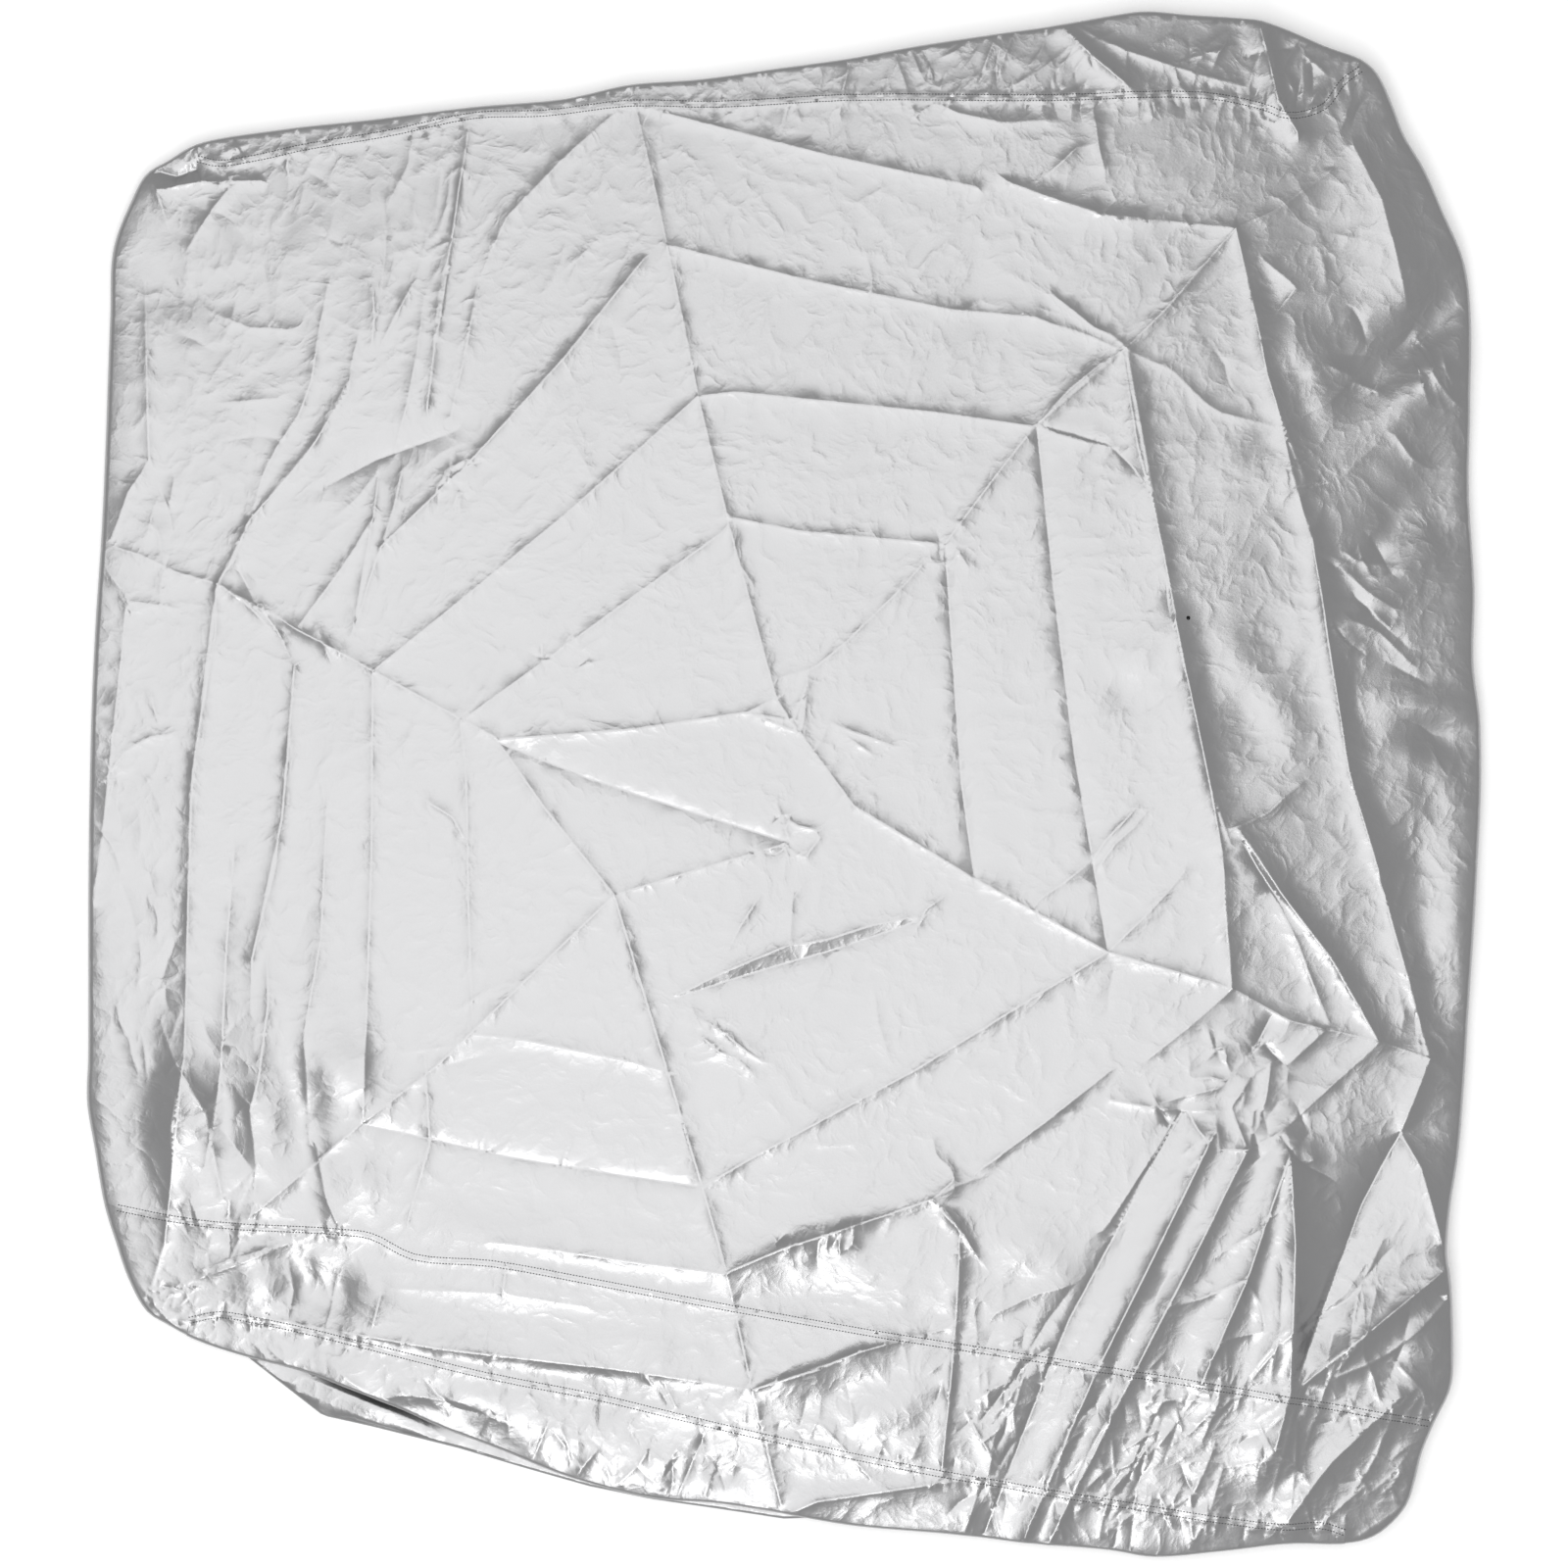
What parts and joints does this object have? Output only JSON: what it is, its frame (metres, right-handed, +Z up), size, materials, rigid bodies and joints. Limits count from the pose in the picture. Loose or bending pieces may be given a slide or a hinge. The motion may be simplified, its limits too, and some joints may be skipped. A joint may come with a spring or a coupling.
{
  "type": "patio table cover",
  "caption": "Fitted cover of silver-coated cloth for a square patio table, laid out flat and empty with its walls tucked under and its packing creases showing.",
  "frame": {"origin": "under the middle of the cover, on the surface that it lies on", "axes": "+Z up from the surface, +X to the right across the cover, +Y to the back, -Y is the front, where the wall's pleat shows"},
  "size_m": [1.2825, 1.421, 0.0458],
  "materials": {
    "panel_cloth": "silver coating, semi-gloss, creased",
    "strip_cloth": "silver coating, semi-gloss, creased",
    "front_cloth": "silver coating, semi-gloss, creased",
    "back_cloth": "silver coating, semi-gloss, creased"
  },
  "bodies": {
    "root": {"main_panel": "panel_cloth", "join_strip": "strip_cloth", "front_wall": "front_cloth", "back_wall": "back_cloth"}
  },
  "joints": []
}
